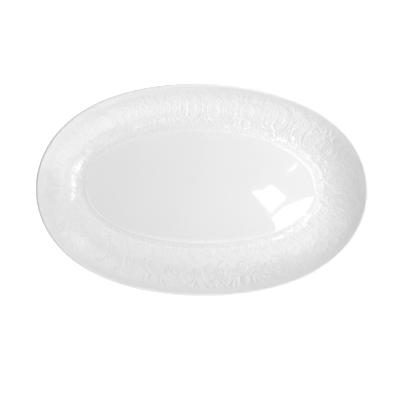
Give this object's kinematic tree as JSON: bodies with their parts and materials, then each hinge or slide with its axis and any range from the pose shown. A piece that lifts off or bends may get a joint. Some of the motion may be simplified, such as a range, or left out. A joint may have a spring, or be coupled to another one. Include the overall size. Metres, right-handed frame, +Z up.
{
  "type": "china serving platter",
  "caption": "Oval porcelain serving platter with a shallow dished well, a beaded border, a broad rim in low scroll and leaf relief, a rounded lip and a standing foot ring.",
  "frame": {"origin": "middle of the oval, on the surface that the foot ring stands on", "axes": "+X along the long way of the oval, +Y across it, +Z up, out of the dish"},
  "size_m": [0.34, 0.218, 0.037],
  "materials": {
    "glazed_porcelain": "clear gloss glaze on white porcelain",
    "bare_porcelain": "ground unglazed biscuit, matt"
  },
  "bodies": {
    "root": {"well": "glazed_porcelain", "well_moulding": "glazed_porcelain", "rim": "glazed_porcelain", "lip": "glazed_porcelain", "foot_ring": "glazed_porcelain", "foot_edge": "bare_porcelain", "bead_row": "glazed_porcelain", "scroll_arches": "glazed_porcelain", "ring_bosses": "glazed_porcelain", "palmettes": "glazed_porcelain", "rosettes": "glazed_porcelain", "leaf_sprays": "glazed_porcelain"}
  },
  "joints": []
}
